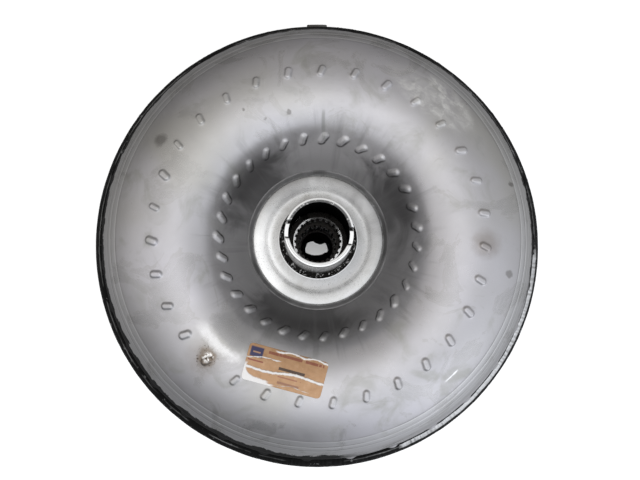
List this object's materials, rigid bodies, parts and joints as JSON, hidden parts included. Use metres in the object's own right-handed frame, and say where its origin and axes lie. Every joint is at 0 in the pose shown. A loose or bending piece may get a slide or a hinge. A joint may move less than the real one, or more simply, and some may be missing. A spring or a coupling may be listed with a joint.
{
  "type": "torque converter",
  "caption": "Lock-up torque converter: pressed shell with blade dimples, notched pump-drive hub, welded front cover with pilot and drive lugs, and turbine, stator and lock-up clutch inside.",
  "frame": {"origin": "on the axis of rotation, in the plane of the four drive-lug pads on the engine side", "axes": "+Z along the axis of rotation, from the engine to the transmission; +X and +Y across it, with the balance weight on the rim at +Y"},
  "size_m": [0.31, 0.3122, 0.1523],
  "materials": {
    "shell_steel": "satin pressed steel with oil stains",
    "cover_steel": "satin",
    "turned_steel": "finely turned",
    "race_steel": "ground",
    "blade_steel": "satin",
    "spring_steel": "satin",
    "weld_metal": "rough bead",
    "black_weld": "black paint over a weld bead, bare in places",
    "foil_label": "glossy copper-coloured foil",
    "cast_aluminium": "as cast",
    "brass_cage": "satin",
    "washer_plastic": "matte",
    "seal_plastic": "matte",
    "friction_paper": "matte, fibrous"
  },
  "bodies": {
    "housing": {"front_cover": "cover_steel", "crank_pilot": "turned_steel", "drive_lugs": "turned_steel", "lug_welds": "weld_metal", "balance_weight": "cover_steel", "impeller_shell": "shell_steel", "seam_weld": "black_weld", "impeller_hub": "turned_steel", "hub_weld": "weld_metal", "impeller_blades": "blade_steel", "impeller_core": "blade_steel", "id_label": "foil_label", "cover_thrust_washer": "washer_plastic", "pump_bearing_race_upper": "race_steel"},
    "turbine": {"turbine_hub": "turned_steel", "turbine_shell": "shell_steel", "turbine_blades": "blade_steel", "turbine_core": "blade_steel", "turbine_rivets": "race_steel", "drive_tabs": "blade_steel", "piston_seal_ring": "seal_plastic", "turbine_bearing_race_lower": "race_steel"},
    "damper": {"spring_carrier": "blade_steel", "damper_springs": "spring_steel"},
    "piston": {"lockup_piston": "shell_steel", "friction_lining": "friction_paper"},
    "inner_race": {"clutch_inner_race": "race_steel"},
    "stator": {"stator_wheel": "cast_aluminium", "clutch_outer_race": "race_steel", "clutch_rollers": "race_steel", "clutch_springs": "spring_steel", "clutch_cap_lower": "cast_aluminium", "clutch_cap_upper": "cast_aluminium", "clutch_snap_ring": "spring_steel", "turbine_bearing_race_upper": "race_steel", "pump_bearing_race_lower": "race_steel"},
    "turbine_bearing": {"turbine_bearing_cage": "brass_cage", "turbine_bearing_needles": "race_steel"},
    "pump_bearing": {"pump_bearing_cage": "brass_cage", "pump_bearing_needles": "race_steel"}
  },
  "joints": [
    {"name": "turbine_spin", "type": "hinge", "parent": "housing", "child": "turbine", "pos_m": [0, 0, 0.036], "axis": [0, 0, 1], "continuous": true},
    {"name": "damper_twist", "type": "hinge", "parent": "turbine", "child": "damper", "pos_m": [0, 0, 0.0312], "axis": [0, 0, 1], "range_deg": [-4, 4], "stiffness_Nm_per_rad": 900, "deforming": ["damper_springs"]},
    {"name": "piston_slide", "type": "slide", "parent": "damper", "child": "piston", "axis": [0, 0, -1], "range_m": [0, 0.0012]},
    {"name": "inner_race_spin", "type": "hinge", "parent": "housing", "child": "inner_race", "pos_m": [0, 0, 0.065], "axis": [0, 0, 1], "continuous": true},
    {"name": "stator_freewheel", "type": "hinge", "parent": "inner_race", "child": "stator", "pos_m": [0, 0, 0.065], "axis": [0, 0, 1], "continuous": true},
    {"name": "turbine_bearing_roll", "type": "hinge", "parent": "turbine", "child": "turbine_bearing", "pos_m": [0, 0, 0.055], "axis": [0, 0, 1], "continuous": true},
    {"name": "pump_bearing_roll", "type": "hinge", "parent": "housing", "child": "pump_bearing", "pos_m": [0, 0, 0.075], "axis": [0, 0, 1], "continuous": true}
  ],
  "couplings": [
    {"joint": "turbine_bearing_roll", "follows": "turbine_spin", "ratio": -0.5},
    {"joint": "pump_bearing_roll", "follows": "inner_race_spin", "ratio": 0.5}
  ]
}
